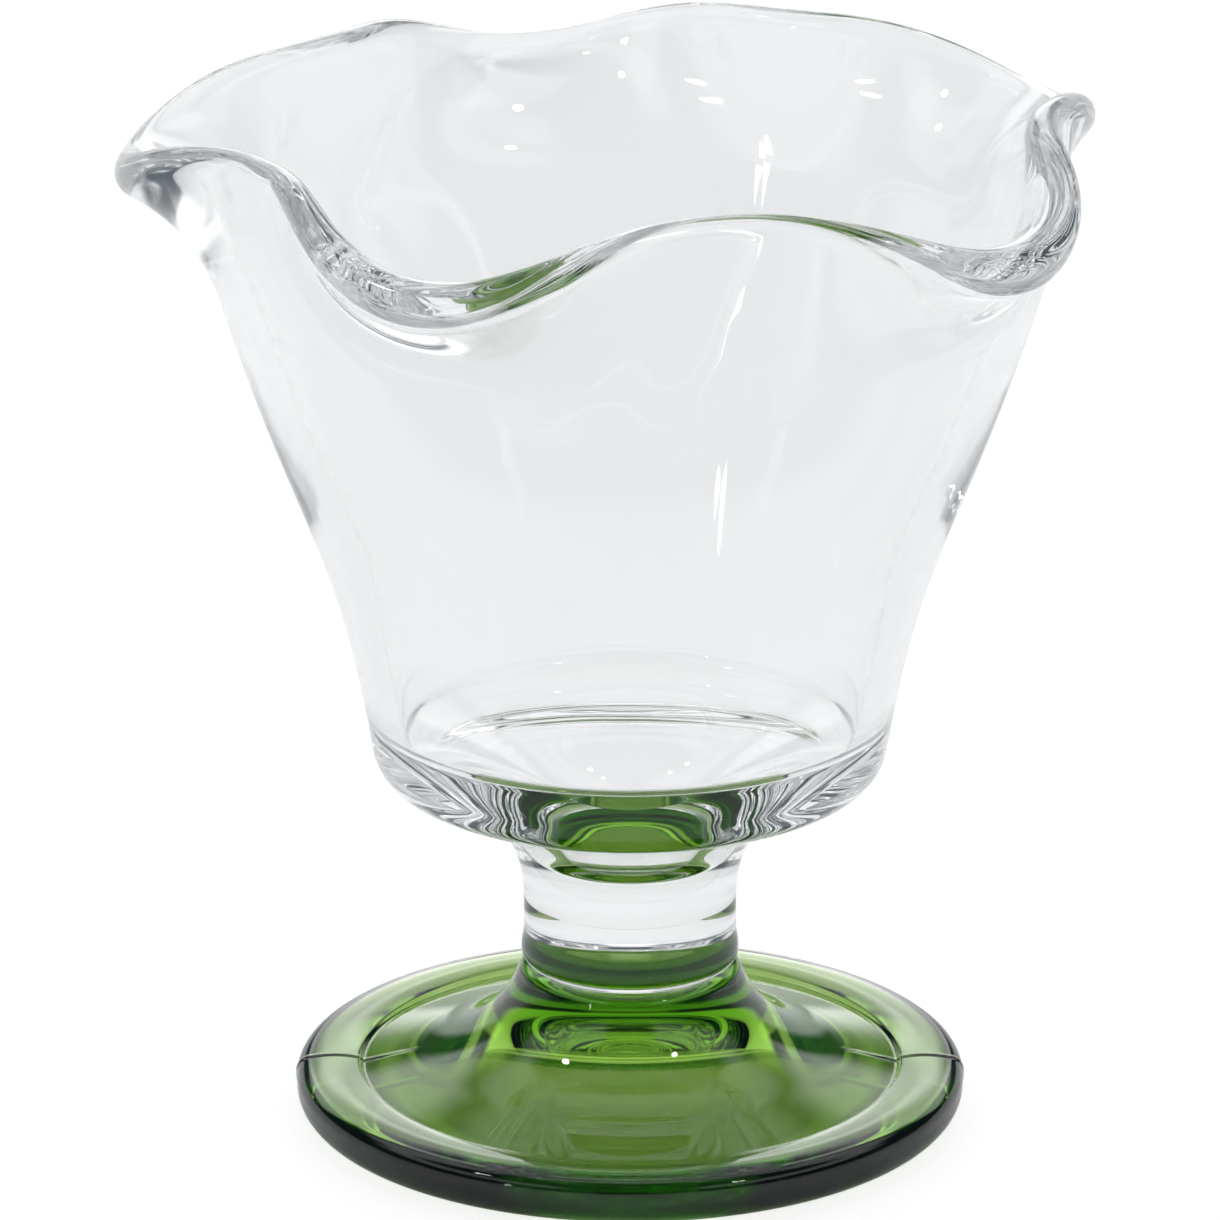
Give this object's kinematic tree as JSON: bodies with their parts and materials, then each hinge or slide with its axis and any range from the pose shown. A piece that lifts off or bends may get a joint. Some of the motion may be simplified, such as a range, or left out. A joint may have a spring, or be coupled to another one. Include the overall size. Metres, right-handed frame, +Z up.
{
  "type": "sundae glass",
  "caption": "Pressed-glass sundae dish: a thick clear tapering bowl with a ruffled, lobed rim on a short clear stem and a broad round green glass foot.",
  "frame": {"origin": "centre of the foot's flat underside", "axes": "+Z up along the glass's axis, +X to the right in the picture's view, +Y away from the viewer"},
  "size_m": [0.1147, 0.1161, 0.124],
  "materials": {
    "clear_glass": "fire-polished pressed glass, clear and smooth",
    "green_glass": "pressed glass coloured green in the melt, smooth"
  },
  "bodies": {
    "root": {"bowl": "clear_glass", "stem": "clear_glass", "foot": "green_glass"}
  },
  "joints": []
}
